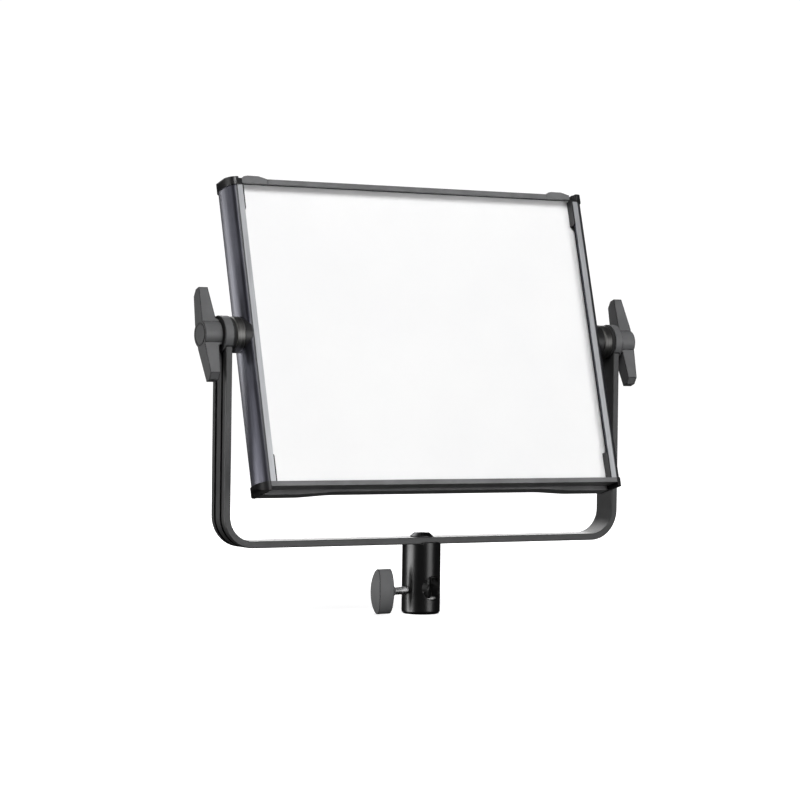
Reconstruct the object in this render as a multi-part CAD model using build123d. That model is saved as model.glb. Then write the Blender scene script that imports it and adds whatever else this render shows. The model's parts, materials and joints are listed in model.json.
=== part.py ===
from build123d import *
import os

# LED panel light on a U-shaped yoke with a stand receiver. Millimetres, +Z up, the panel shines towards -Y.
# The origin is the mouth of the stand socket. Head pieces are drawn upright about the tilt axis
# and leaned back together by HEAD_PLACE when they are written.

# ---- head frame ----
PANEL_WIDTH = 293.0
PANEL_HEIGHT = 226.8
PANEL_RISE = 0.75
FRAME_DEPTH = 26.0
FRONT_Y = -11.4
LIP_SIDE = 4.5
LIP_TOP = 3.5
LIP_THICK = 2.3
SIDE_BULGE = 6.0
CAP_HEIGHT = 5.0
CAP_PROUD = 0.9
CAP_ROUND = 4.5
CAP_ABOVE = 0.8
CAP_BELOW = 3.2
CAP_ROOF = 2.2
CAP_RISE = 2.4
CAP_BACK_ROUND = 2.5
CAP_SCREW_HEAD = 1.9
CAP_SCREW_CORE = 1.25
DIFFUSER_RECESS = 7.0
SHELF_THICK = 1.5
WALL = 1.8
HEEL_DEPTH = 1.5
HEEL_SWELL = 1.6
HEEL_FRONT = 2.8
SWELL_START = 84.0
SWELL_END = 118.0
CLIP_LENGTH = 20.0

# ---- accessory latches ----
LATCH_WIDTH = 20.6
LATCH_CENTRES = {-1: -131.5, 1: 129.1}
LATCH_GAP = 0.4
LATCH_HUMP = 2.1
LATCH_PIN_Y = 3.6
LATCH_PIN_DROP = 2.9
LATCH_PIN_RADIUS = 1.0
EAR_THICK = 1.5

# ---- light engine ----
BOARD_Y = 5.0
TRAY_EDGE = 5.6
TRAY_END = 6.4
CHIP_COLUMNS = 12
CHIP_ROWS = 9
CHIP_PITCH = 22.0
CHIP_SIZE = 3.4
FIN_COUNT = 25
FIN_PITCH = 11.0

# ---- rear housing ----
COVER_THICK = 2.0
HOUSING_HALF_WIDTH = 92.0
HOUSING_TOP = 70.0
HOUSING_BOTTOM = -82.0
HOUSING_DEPTH = 22.0
HOUSING_SCREWS = [(x, z) for x in (-84.0, 84.0) for z in (62.0, -8.0, -74.0)]
SHELL = 2.2
CONTROL_Z = -54.0
DISPLAY_SIZE = (42.0, 24.0)
ENCODER_X = 66.0
BUTTON_Z = -74.0
BUTTON_PITCH = 14.0
SWITCH_X = 44.0
SOCKET_X = 14.0
DATA_X = -14.0
ROCKER_TIP = 8.0
PLATE_WIDTH = 88.0
PLATE_BOTTOM = -30.0
PLATE_TOP = 66.0
PLATE_THICK = 10.0
PLATE_SCREWS = [(x, z) for x in (-36.0, 36.0) for z in (56.0, 0.0)]
POCKET_DEPTH = 6.0
CATCH_X = 26.0
CATCH_Z = -16.0
CONTACT_PITCH = 4.2
RAMP = 3.0

# ---- yoke and pivots ----
TILT_HEIGHT = 203.0
HEAD_LEAN = 15.6
ARM_OUTER = 167.5
BAR_THICK = 5.0
BAR_WIDTH = 21.2
BAR_BOTTOM = 51.8
CORNER_RADIUS = 23.0
GROOVE_WIDTH = 3.0
GROOVE_DEPTH = 0.8
GROOVE_OFFSET = 4.6
COLLAR_RADIUS = 13.6
COLLAR_OUTER = 169.5
BOSS_RADIUS = 13.0
BOSS_INNER = 153.0
BOSS_OUTER = 160.0
SPIGOT_RADIUS = 6.0
STUB_RADIUS = 7.0
SCREW_RADIUS = 3.0
RUNNING_GAP = 0.05

# ---- tilt knobs ----
KNOB_TURN = 20.0
KNOB_HALF_LENGTH = 34.0
KNOB_OUTER = 183.0
KNOB_HUB_RADIUS = 9.6
WING_DROP = 2.0
WASHER_THICK = 1.2

# ---- stand receiver and clamp ----
RECEIVER_RADIUS = 14.25
RECEIVER_LIP = 1.4
SOCKET_RADIUS = 8.1
SOCKET_DEPTH = 37.0
SIDE_SOCKET_Z = 19.5
RECEIVER_TURN = 8.4
CLAMP_Z = 17.6
CLAMP_KNOB_INNER = 29.5
CLAMP_KNOB_OUTER = 40.8
CLAMP_KNOB_HEIGHT = 33.0
CLAMP_KNOB_WIDTH = 11.4
PAD_LENGTH = 2.5
BOLT_HEAD_RADIUS = 8.7
BOLT_TOP_RADIUS = 5.6
BOLT_HEAD_HEIGHT = 3.4
BOLT_RIM = 0.7

PANEL_TOP = PANEL_RISE + PANEL_HEIGHT / 2
PANEL_BOTTOM = PANEL_RISE - PANEL_HEIGHT / 2
HALF_WIDTH = PANEL_WIDTH / 2
OPENING_HALF = HALF_WIDTH - LIP_SIDE
BACK_Y = FRONT_Y + FRAME_DEPTH
DIFFUSER_Y = FRONT_Y + DIFFUSER_RECESS
SLOT_FLOOR = HALF_WIDTH - 1.5
CAP_SCREW_X = HALF_WIDTH + 2.2
CAP_SCREW_Y = FRONT_Y + FRAME_DEPTH / 2
RAIL_LOW = PANEL_BOTTOM + LIP_TOP
RAIL_HIGH = PANEL_TOP - CAP_HEIGHT
COVER_BACK = BACK_Y + COVER_THICK
PORT_Y = COVER_BACK + 8.0
HOUSING_BACK = COVER_BACK + HOUSING_DEPTH
BOARD_BACK = HOUSING_BACK - 8.0
PLATE_BACK = HOUSING_BACK + PLATE_THICK
SHELF_Y = DIFFUSER_Y + 2.1
LATCH_PIN_Z = PANEL_TOP - LATCH_PIN_DROP
TRAY_HALF = SLOT_FLOOR - TRAY_EDGE
TRAY_LOW = PANEL_BOTTOM + TRAY_END
TRAY_HIGH = PANEL_TOP - TRAY_END
KNOB_INNER = COLLAR_OUTER + 0.1

HEAD_PLACE = Pos(0, 0, TILT_HEIGHT) * Rot(-HEAD_LEAN, 0, 0)
RECEIVER_PLACE = Rot(0, 0, RECEIVER_TURN)


def span(x0, x1, y0, y1, z0, z1):
    """A block between two corners."""
    block = Box(x1 - x0, y1 - y0, z1 - z0)
    return Pos((x0 + x1) / 2, (y0 + y1) / 2, (z0 + z1) / 2) * block


def rod(axis, radius, start, end, a=0.0, b=0.0):
    """A cylinder along an axis; a and b are its other two coordinates."""
    body = Cylinder(radius, end - start)
    middle = (start + end) / 2
    if axis == "x":
        return Pos(middle, a, b) * Rot(0, 90, 0) * body
    if axis == "y":
        return Pos(a, middle, b) * Rot(90, 0, 0) * body
    return Pos(a, b, middle) * body


def ring(axis, outer, inner, start, end, a=0.0, b=0.0):
    """A tube along an axis."""
    return rod(axis, outer, start, end, a, b) - rod(axis, inner, start - 1, end + 1, a, b)


def mirrored(shape):
    """The same piece on the other side of the object."""
    return mirror(shape, about=Plane.YZ)


def group(*pieces):
    """Separate solids that share one node."""
    return Compound([solid for piece in pieces for solid in piece.solids()])


def write(name, shape, place=Pos(0, 0, 0)):
    """Write one node's STEP file in its final place."""
    export_step(place * group(shape), "parts/" + name + ".step")


# ---------------------------------------------------------------- head frame

def side_outline(grow=0.0):
    """Plan of the right-hand rail: flat inside, a shallow half ellipse outside."""
    centre_y = FRONT_Y + FRAME_DEPTH / 2
    bow = Pos(HALF_WIDTH, centre_y) * Ellipse(SIDE_BULGE + grow, FRAME_DEPTH / 2 + grow)
    inside = (HALF_WIDTH + SLOT_FLOOR) / 2
    core = Pos(inside, centre_y) * Rectangle(HALF_WIDTH - SLOT_FLOOR, FRAME_DEPTH + 2 * grow)
    keep = Pos(HALF_WIDTH + 50, centre_y) * Rectangle(100, 100)
    return (bow & keep) + core


def side_rail():
    """Right-hand extruded rail: front lip, accessory slot, diffuser shelf and rear flange."""
    height = RAIL_HIGH - RAIL_LOW
    rail = Pos(0, 0, RAIL_LOW) * extrude(side_outline(), height)
    rail += span(OPENING_HALF, SLOT_FLOOR, FRONT_Y, FRONT_Y + LIP_THICK, RAIL_LOW, RAIL_HIGH)
    rail += span(SLOT_FLOOR - 5, SLOT_FLOOR, SHELF_Y, SHELF_Y + SHELF_THICK, RAIL_LOW, RAIL_HIGH)
    rail += span(SLOT_FLOOR - 5, SLOT_FLOOR, BACK_Y - 2, BACK_Y, RAIL_LOW, RAIL_HIGH)
    hollow = Pos(HALF_WIDTH, 1.6, 0) * Ellipse(SIDE_BULGE - 2, FRAME_DEPTH / 2 - 2.5)
    hollow = hollow & (Pos(HALF_WIDTH + 50, 0) * Rectangle(100, 100))
    hollow -= Pos(CAP_SCREW_X, CAP_SCREW_Y) * Circle(2.1)
    hollow += Pos(CAP_SCREW_X, CAP_SCREW_Y) * Circle(CAP_SCREW_CORE)
    rail -= Pos(0, 0, RAIL_LOW - 1) * extrude(hollow, height + 2)
    rail -= nut_plate_block()
    rail -= rod("x", STUB_RADIUS, SLOT_FLOOR - 1, BOSS_INNER)
    return rail


def nut_plate_block():
    return span(SLOT_FLOOR + 0.2, SLOT_FLOOR + 2.6, -8, 8, -16, 16)


def pivot_nut_plate():
    """Steel plate inside the rail that the pivot boss screws into."""
    return nut_plate_block() - rod("x", STUB_RADIUS, SLOT_FLOOR - 1, BOSS_INNER)


def cap_heights(at_top):
    """Lower and upper face of an end cap."""
    if at_top:
        return RAIL_HIGH, PANEL_TOP + CAP_ABOVE
    return PANEL_BOTTOM - CAP_BELOW, RAIL_LOW


def cap_slope(low, high):
    """Block whose top climbs from the front of the frame to its back."""
    front, back = FRONT_Y - CAP_PROUD - 1, BACK_Y + CAP_PROUD
    side = make_face(Polyline((front, low), (back, low), (back, high + CAP_RISE), (front, high), close=True))
    side = fillet(side.vertices().sort_by(Axis.Y)[-1], CAP_BACK_ROUND)
    return extrude(Plane.YZ * side, HALF_WIDTH + SIDE_BULGE + CAP_PROUD + 1)


def end_cap(at_top):
    """Moulded cap that closes the end of the right-hand rail, rounded on its outer corner."""
    low, high = cap_heights(at_top)
    crest = high + CAP_RISE if at_top else high
    cap = Pos(0, 0, low) * extrude(side_outline(CAP_PROUD), crest - low)
    reach = HALF_WIDTH + SIDE_BULGE + CAP_PROUD
    card = Pos(reach / 2, (low + crest) / 2) * Rectangle(reach, crest - low)
    corners = card.vertices().group_by(Axis.X)[-1].sort_by(Axis.Y)
    card = fillet(corners[-1] if at_top else corners[0], CAP_ROUND)
    cap = cap & extrude(Plane.XZ.offset(-30) * card, 60)
    if at_top:
        cap = cap & cap_slope(low, high)
        cap += span(OPENING_HALF, SLOT_FLOOR, FRONT_Y, FRONT_Y + LIP_THICK, low, PANEL_TOP)
        cap += span(SLOT_FLOOR - 1.4, SLOT_FLOOR, FRONT_Y, BACK_Y, PANEL_TOP - CAP_ROOF, PANEL_TOP)
    else:
        cap -= span(0, HALF_WIDTH, FRONT_Y - 1, BACK_Y + 1, low - 1, high + 1)
    cap -= rod("z", CAP_SCREW_CORE + RUNNING_GAP, low - 1, crest + 1, CAP_SCREW_X, CAP_SCREW_Y)
    sink = (high - 1.4, crest + 1) if at_top else (low - 1, low + 1.4)
    return cap - rod("z", CAP_SCREW_HEAD + 0.1, *sink, CAP_SCREW_X, CAP_SCREW_Y)


def end_cap_screw(at_top):
    """Flat-head screw through the right-hand end cap, with a slot."""
    low, high = cap_heights(at_top)
    face, inward = (high, -1) if at_top else (low, 1)

    def between(near, far):
        return sorted((face + inward * near, face + inward * far))

    screw = rod("z", CAP_SCREW_HEAD, *between(0.3, 1.4), CAP_SCREW_X, CAP_SCREW_Y)
    screw += rod("z", CAP_SCREW_CORE, *between(1.4, 16.0), CAP_SCREW_X, CAP_SCREW_Y)
    slot = span(CAP_SCREW_X - 1.4, CAP_SCREW_X + 1.4, CAP_SCREW_Y - 0.3, CAP_SCREW_Y + 0.3, *between(0.0, 0.8))
    return screw - slot


def both(shape):
    """A right-hand piece and its mirror image in one node."""
    return group(shape, mirrored(shape))


def latch_span(side):
    """Inner and outer end of a latch, as low and high X."""
    centre = LATCH_CENTRES[side]
    return centre - LATCH_WIDTH / 2, centre + LATCH_WIDTH / 2


def top_bar():
    """Top rail between the end caps, cut away where the two accessory latches sit."""
    half = SLOT_FLOOR - 1.6
    bar = span(-half, half, FRONT_Y, BACK_Y, PANEL_TOP - WALL, PANEL_TOP)
    bar += span(-half, half, FRONT_Y, FRONT_Y + LIP_THICK, PANEL_TOP - LIP_TOP, PANEL_TOP)
    bar += span(-half, half, SHELF_Y, SHELF_Y + SHELF_THICK, RAIL_HIGH, PANEL_TOP - WALL)
    bar += span(-half, half, BACK_Y - 2, BACK_Y, RAIL_HIGH, PANEL_TOP)
    cut_back = LATCH_PIN_Y + 3.2
    for side in (-1, 1):
        low, high = latch_span(side)
        inner = (high if side < 0 else low) - side * LATCH_GAP
        ends = sorted((inner, side * (half + 1)))
        bar -= span(*ends, FRONT_Y - 1, cut_back, PANEL_TOP - 7, PANEL_TOP + 1)
        for start in (low - 0.1 - EAR_THICK, high + 0.1):
            end = start + EAR_THICK
            ear = span(start, end, LATCH_PIN_Y - 2.2, cut_back + 0.2, PANEL_TOP - 5.2, PANEL_TOP - 0.7)
            bar += ear - rod("x", LATCH_PIN_RADIUS, start - 1, end + 1, LATCH_PIN_Y, LATCH_PIN_Z)
    return bar


def latch(side):
    """Flap that keeps an accessory in its slot; a hump on top is the thumb lift."""
    low, high = latch_span(side)
    deck = span(low, high, FRONT_Y, LATCH_PIN_Y + 0.2, PANEL_TOP - WALL, PANEL_TOP)
    deck += span(low, high, FRONT_Y, FRONT_Y + LIP_THICK, PANEL_TOP - LIP_TOP, PANEL_TOP)
    crest = LATCH_HUMP
    hump = Polyline((low, 0), (low + 1.6, crest - 0.6), (low + 4.5, crest), (high - 7.0, crest - 0.1),
                    (high, 0), close=True)
    hump_depth = LATCH_PIN_Y - 3 - FRONT_Y
    hump = Plane.XZ.offset(-FRONT_Y - hump_depth) * make_face(hump)
    deck += Pos(0, 0, PANEL_TOP - 0.05) * extrude(hump, hump_depth)
    deck += rod("x", 1.9, low + 0.2, high - 0.2, LATCH_PIN_Y, LATCH_PIN_Z + 0.2)
    deck -= rod("x", LATCH_PIN_RADIUS + RUNNING_GAP, low - 1, high + 1, LATCH_PIN_Y, LATCH_PIN_Z)
    middle = (low + high) / 2
    deck -= span(middle - 4, middle + 4, LATCH_PIN_Y - 2.4, LATCH_PIN_Y + 3, PANEL_TOP - 6, PANEL_TOP - 0.9)
    return deck


def latch_pins():
    """Hinge pin of each latch, held in the ears of the top bar."""
    pins = []
    for side in (-1, 1):
        low, high = latch_span(side)
        ends = (low - 0.1 - EAR_THICK, high + 0.1 + EAR_THICK)
        pins.append(rod("x", LATCH_PIN_RADIUS, *ends, LATCH_PIN_Y, LATCH_PIN_Z))
    return group(*pins)


def latch_springs():
    """Torsion spring wound round each latch pin, drawn as close coils."""
    coils = []
    for side in (-1, 1):
        for index in range(6):
            x = LATCH_CENTRES[side] - 3.0 + index * 1.2
            coils.append(Pos(x, LATCH_PIN_Y, LATCH_PIN_Z) * Rot(0, 90, 0) * Torus(1.45, 0.3))
    return group(*coils)


def heel():
    """Rear foot of the bottom bar, deeper towards the right-hand end."""
    deep = -HEEL_DEPTH - HEEL_SWELL
    outline = [Line((0, 0.5), (0, -HEEL_DEPTH)), Line((0, -HEEL_DEPTH), (SWELL_START, -HEEL_DEPTH))]
    outline += [Spline((SWELL_START, -HEEL_DEPTH), (SWELL_END, deep), tangents=((1, 0), (1, 0)))]
    outline += [Line((SWELL_END, deep), (HALF_WIDTH, deep)), Line((HALF_WIDTH, deep), (HALF_WIDTH, 0.5))]
    outline += [Line((HALF_WIDTH, 0.5), (0, 0.5))]
    side = Plane.XZ.offset(-BACK_Y) * make_face(outline)
    return Pos(0, 0, PANEL_BOTTOM) * extrude(side, BACK_Y - HEEL_FRONT)


def bottom_bar():
    """Bottom rail: full-width front lip, a groove along its underside and a heel behind the groove."""
    half = HALF_WIDTH
    inner = SLOT_FLOOR - 5.1
    bar = span(-half, half, FRONT_Y, FRONT_Y + LIP_THICK, PANEL_BOTTOM, RAIL_LOW)
    bar += span(-half, half, FRONT_Y, BACK_Y, PANEL_BOTTOM, PANEL_BOTTOM + WALL)
    bar += span(-inner, inner, SHELF_Y, SHELF_Y + SHELF_THICK, PANEL_BOTTOM + WALL, PANEL_BOTTOM + 6)
    bar += span(-inner, inner, BACK_Y - 2, BACK_Y, PANEL_BOTTOM + WALL, PANEL_BOTTOM + 6)
    bar += heel()
    bar += mirrored(heel())
    return bar - span(-half - 1, half + 1, HEEL_FRONT - 1.1, HEEL_FRONT, PANEL_BOTTOM - 5, PANEL_BOTTOM + 0.9)


def corner_clips():
    """Four moulded clips that hold the diffuser into the corners of the accessory slots."""
    length = CLIP_LENGTH
    tab = span(SLOT_FLOOR - 4, SLOT_FLOOR, FRONT_Y + LIP_THICK + 0.05, DIFFUSER_Y - 0.05, 0, length)
    skin = span(OPENING_HALF - 1, OPENING_HALF - 0.02, FRONT_Y + 0.3, DIFFUSER_Y - 0.05, 0, length)
    skin = fillet(skin.edges().filter_by(Axis.X).group_by(Axis.Z)[0].sort_by(Axis.Y)[:1], 2.5)
    clip = tab + skin
    upper = Pos(0, 0, PANEL_TOP - LIP_TOP - 0.1 - length) * clip
    lower = Pos(0, 0, RAIL_LOW + 0.1 + length) * mirror(clip, about=Plane.XY)
    return both(group(upper, lower))


# ---------------------------------------------------------------- light engine

def diffuser():
    """Opal sheet behind the front lips."""
    half = SLOT_FLOOR - 0.6
    return span(-half, half, DIFFUSER_Y, DIFFUSER_Y + 2, RAIL_LOW - 1.0, PANEL_TOP - LIP_TOP + 1.0)


def mixing_tray():
    """White walls that mix the light between the LED board and the diffuser."""
    tray = span(-TRAY_HALF, TRAY_HALF, DIFFUSER_Y + 2.2, BOARD_Y, TRAY_LOW, TRAY_HIGH)
    wall = 1.2
    return tray - span(-TRAY_HALF + wall, TRAY_HALF - wall, -50, 50, TRAY_LOW + wall, TRAY_HIGH - wall)


def led_board():
    return span(-TRAY_HALF, TRAY_HALF, BOARD_Y, BOARD_Y + 1.6, TRAY_LOW, TRAY_HIGH)


def led_chips():
    """Grid of LED packages on the board."""
    half = CHIP_SIZE / 2
    chips = []
    for column in range(CHIP_COLUMNS):
        x = (column - (CHIP_COLUMNS - 1) / 2) * CHIP_PITCH
        for row in range(CHIP_ROWS):
            z = PANEL_RISE + (row - (CHIP_ROWS - 1) / 2) * CHIP_PITCH
            chips.append(span(x - half, x + half, BOARD_Y - 0.8, BOARD_Y, z - half, z + half))
    return group(*chips)


def heat_sink():
    """Aluminium plate behind the LED board with upright fins."""
    base_back = BOARD_Y + 3.8
    sink = span(-TRAY_HALF, TRAY_HALF, BOARD_Y + 1.6, base_back, TRAY_LOW, TRAY_HIGH)
    fins = []
    for index in range(FIN_COUNT):
        x = (index - (FIN_COUNT - 1) / 2) * FIN_PITCH
        fins.append(span(x - 0.8, x + 0.8, base_back - 0.1, BACK_Y - 0.1, TRAY_LOW + 4, TRAY_HIGH - 4))
    return sink + fins


# ---------------------------------------------------------------- rear cover and housing

def back_cover():
    """Flat rear cover with two banks of vent slots and a cable opening."""
    half = HALF_WIDTH - 1
    cover = span(-half, half, BACK_Y, COVER_BACK, RAIL_LOW + 0.2, RAIL_HIGH - 0.2)
    cover = fillet(cover.edges().filter_by(Axis.Y), 5.0)
    slots = []
    for side in (-1, 1):
        for index in range(12):
            z = (index - 5.5) * 13.0
            slot = Pos(side * 118.0, z) * SlotOverall(32.0, 4.0)
            slots.append(extrude(Plane.XZ.offset(-COVER_BACK - 1) * slot, COVER_THICK + 2))
    cover -= slots
    cover -= span(-20, 20, BACK_Y - 1, COVER_BACK + 1, -30, 10)
    for x, z in cover_screw_places():
        cover -= rod("y", 1.7, BACK_Y - 1, COVER_BACK + 1, x, z)
    return cover


def cover_screw_places():
    places = []
    for x in (-HALF_WIDTH + 4.2, HALF_WIDTH - 4.2):
        places += [(x, PANEL_TOP - 14), (x, 38), (x, -38), (x, PANEL_BOTTOM + 14)]
    return places


def pan_screw(x, z, under_head, length, radius=1.5):
    """Pan-head screw that points towards the panel's front, with a cross recess."""
    head = radius * 1.1
    screw = rod("y", radius * 1.9, under_head, under_head + head, x, z)
    screw = fillet(screw.edges().sort_by(Axis.Y)[-1:], head * 0.45)
    screw += rod("y", radius, under_head - length, under_head, x, z)
    for size in ((1.0, 0.25), (0.25, 1.0)):
        dx, dz = radius * size[0], radius * size[1]
        screw -= span(x - dx, x + dx, under_head + head * 0.4, under_head + head + 1, z - dz, z + dz)
    return screw


def control_housing():
    """Rear shell that holds the electronics, open towards the cover."""
    half = HOUSING_HALF_WIDTH
    shell = span(-half, half, COVER_BACK, HOUSING_BACK, HOUSING_BOTTOM, HOUSING_TOP)
    shell = fillet(shell.edges().filter_by(Axis.Y), 9.0)
    rim = shell.faces().sort_by(Axis.Y)[-1].edges()
    shell = fillet(rim, 3.0)
    inner = span(-half + SHELL, half - SHELL, COVER_BACK - 1, HOUSING_BACK - SHELL,
                 HOUSING_BOTTOM + SHELL, HOUSING_TOP - SHELL)
    shell -= fillet(inner.edges().filter_by(Axis.Y), 7.0)
    for x, z in HOUSING_SCREWS:
        shell += rod("y", 4.0, COVER_BACK, HOUSING_BACK - 1, x, z)
        shell -= rod("y", 1.6, COVER_BACK - 1, HOUSING_BACK + 1, x, z)
        shell -= rod("y", 3.1, HOUSING_BACK - 2, HOUSING_BACK + 1, x, z)
    for index in range(7):
        for side in (-1, 1):
            low, high = sorted((side * (half - SHELL - 1), side * (half + 1)))
            z = -22 + index * 8.0
            shell -= span(low, high, COVER_BACK + 5, HOUSING_BACK - 6, z - 1.2, z + 1.2)
    shell -= display_opening()
    for x in (-ENCODER_X, ENCODER_X):
        shell -= rod("y", 3.4, HOUSING_BACK - 4, HOUSING_BACK + 1, x, CONTROL_Z)
        shell -= rod("y", 13.0, HOUSING_BACK - 1.0, HOUSING_BACK + 1, x, CONTROL_Z)
    for index in (-1, 0, 1):
        shell -= button_block(index, 0.25, HOUSING_BACK - 4, HOUSING_BACK + 1)
    shell -= span(-10, 10, HOUSING_BACK - 4, HOUSING_BACK + 1, 0, 20)
    for x, z in PLATE_SCREWS:
        shell -= rod("y", 1.5, HOUSING_BACK - 5, HOUSING_BACK + 1, x, z)
    low, high = HOUSING_BOTTOM - 1, HOUSING_BOTTOM + 4
    shell -= span(SWITCH_X - 10.5, SWITCH_X + 10.5, PORT_Y - 6.5, PORT_Y + 6.5, low, high)
    shell -= rod("z", 4.0, low, high, SOCKET_X, PORT_Y)
    return shell - data_block()


def rear_screws():
    """Pan-head screws of the cover, the housing and the battery plate."""
    screws = [pan_screw(x, z, COVER_BACK, COVER_THICK) for x, z in cover_screw_places()]
    screws += [pan_screw(x, z, HOUSING_BACK - 2, HOUSING_DEPTH - 2.5) for x, z in HOUSING_SCREWS]
    screws += [pan_screw(x, z, PLATE_BACK - 3, 9.0) for x, z in PLATE_SCREWS]
    return group(*screws)


def data_block():
    block = span(DATA_X - 4.5, DATA_X + 4.5, PORT_Y - 1.7, PORT_Y + 1.7, HOUSING_BOTTOM, HOUSING_BOTTOM + 8)
    return fillet(block.edges().filter_by(Axis.Z), 1.6)


def switch_body():
    """Snap-in case of the power switch."""
    low = HOUSING_BOTTOM
    case = span(SWITCH_X - 10.5, SWITCH_X + 10.5, PORT_Y - 6.5, PORT_Y + 6.5, low, low + 12)
    case += span(SWITCH_X - 12, SWITCH_X + 12, PORT_Y - 8, PORT_Y + 8, low - 1.4, low)
    case -= span(SWITCH_X - 9.3, SWITCH_X + 9.3, PORT_Y - 5.3, PORT_Y + 5.3, low - 2, low + 9)
    pin = rod("y", 1.2, PORT_Y - 5.6, PORT_Y + 5.6, SWITCH_X, low + 1.6)
    return case + pin


def power_rocker():
    """Rocker of the power switch, tipped to off."""
    low = HOUSING_BOTTOM
    cap = Polyline((-8.6, -0.6), (-8.2, -1.9), (0, -0.4), (8.2, -1.9), (8.6, -0.6),
                   (7.0, 3.4), (-7.0, 3.4), close=True)
    cap = extrude(Plane.XZ.offset(-PORT_Y - 5.0) * make_face(cap), 10.0)
    cap -= rod("y", 1.2 + RUNNING_GAP, PORT_Y - 10, PORT_Y + 10, 0, 1.6)
    return Pos(SWITCH_X, 0, low) * (Pos(0, 0, 1.6) * Rot(0, ROCKER_TIP, 0) * Pos(0, 0, -1.6)) * cap


def power_socket():
    """Round low-voltage power inlet."""
    low = HOUSING_BOTTOM
    inlet = ring("z", 4.0, 2.9, low, low + 11, SOCKET_X, PORT_Y)
    inlet += ring("z", 5.6, 2.9, low - 1.6, low, SOCKET_X, PORT_Y)
    inlet += rod("z", 4.0, low + 10, low + 11, SOCKET_X, PORT_Y)
    inlet += rod("z", 1.0, low + 1.5, low + 10.5, SOCKET_X, PORT_Y)
    return inlet


def data_port():
    """Small metal-shelled data socket."""
    low = HOUSING_BOTTOM
    hollow = span(DATA_X - 4.1, DATA_X + 4.1, PORT_Y - 1.3, PORT_Y + 1.3, low - 1, low + 6.5)
    shell = data_block() - fillet(hollow.edges().filter_by(Axis.Z), 1.2)
    return shell + span(DATA_X - 3.2, DATA_X + 3.2, PORT_Y - 0.35, PORT_Y + 0.35, low + 1.0, low + 7)


def control_board():
    """Circuit board under the display and controls."""
    board = span(-84, 84, BOARD_BACK - 1.6, BOARD_BACK, CONTROL_Z - 24.5, CONTROL_Z + 18)
    for x, z in HOUSING_SCREWS:
        board -= rod("y", 4.3, BOARD_BACK - 5, BOARD_BACK + 5, x, z)
    near_switch = span(SWITCH_X - 13, SWITCH_X + 13, BOARD_BACK - 5, BOARD_BACK + 5,
                       HOUSING_BOTTOM, HOUSING_BOTTOM + 14)
    board -= near_switch
    for index in (-1, 0, 1):
        x = index * BUTTON_PITCH
        board += span(x - 3, x + 3, BOARD_BACK - 0.1, BOARD_BACK + 3.6, BUTTON_Z - 3, BUTTON_Z + 3)
    return board


def driver_board():
    """LED driver board with its larger components."""
    back = COVER_BACK + 5.0
    board = span(-78, 78, back - 1.6, back, -28, 60)
    parts = [rod("y", 6.0, back - 0.1, back + 11, -60 + 16 * index, 44) for index in range(4)]
    parts += [span(20, 40, back - 0.1, back + 10, 30, 50), span(-10, 14, back - 0.1, back + 6, -20, -4)]
    parts += [span(44, 68, back - 0.1, back + 8, -18, 22), span(-68, -30, back - 0.1, back + 5, -18, 20)]
    for part in parts:
        board += part
    return board


def display_opening():
    width, height = DISPLAY_SIZE
    return span(-width / 2, width / 2, HOUSING_BACK - 4, HOUSING_BACK + 1,
                CONTROL_Z - height / 2, CONTROL_Z + height / 2)


def display_panel():
    """Display module behind its window."""
    width, height = DISPLAY_SIZE
    return span(-width / 2 - 2, width / 2 + 2, BOARD_BACK, HOUSING_BACK - SHELL - 0.1,
                CONTROL_Z - height / 2 - 0.5, CONTROL_Z + height / 2 + 2)


def display_window():
    """Clear window flush with the housing."""
    width, height = DISPLAY_SIZE
    window = span(-width / 2 + 0.05, width / 2 - 0.05, HOUSING_BACK - SHELL, HOUSING_BACK - 0.1,
                  CONTROL_Z - height / 2 + 0.05, CONTROL_Z + height / 2 - 0.05)
    return window


def button_block(index, gap, y0, y1):
    x = index * BUTTON_PITCH
    return span(x - 4.5 - gap, x + 4.5 + gap, y0, y1, BUTTON_Z - 2.4 - gap, BUTTON_Z + 2.4 + gap)


def push_button(index):
    """Key cap with a flange that keeps it behind the housing wall."""
    key = button_block(index, 0.0, HOUSING_BACK - SHELL - 0.4, HOUSING_BACK + 1.2)
    key = fillet(key.faces().sort_by(Axis.Y)[-1].edges(), 0.6)
    return key + button_block(index, 1.0, HOUSING_BACK - SHELL - 1.3, HOUSING_BACK - SHELL - 0.3)


def encoder_case(x):
    """Case of a rotary encoder with its threaded bushing."""
    case = span(x - 6.0, x + 6.0, BOARD_BACK, HOUSING_BACK - SHELL - 0.3, CONTROL_Z - 6.0, CONTROL_Z + 6.0)
    case += rod("y", 3.3, HOUSING_BACK - SHELL - 0.4, HOUSING_BACK + 0.6, x, CONTROL_Z)
    case -= rod("y", 2.0 + RUNNING_GAP, BOARD_BACK + 2.5, HOUSING_BACK + 2, x, CONTROL_Z)
    case -= rod("y", 3.0, BOARD_BACK + 1.0, BOARD_BACK + 3.8, x, CONTROL_Z)
    return case


def encoder_plunger(x):
    """Plunger disc that closes the push contact under the shaft."""
    return rod("y", 2.9, BOARD_BACK + 1.8, BOARD_BACK + 2.8, x, CONTROL_Z)


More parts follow.
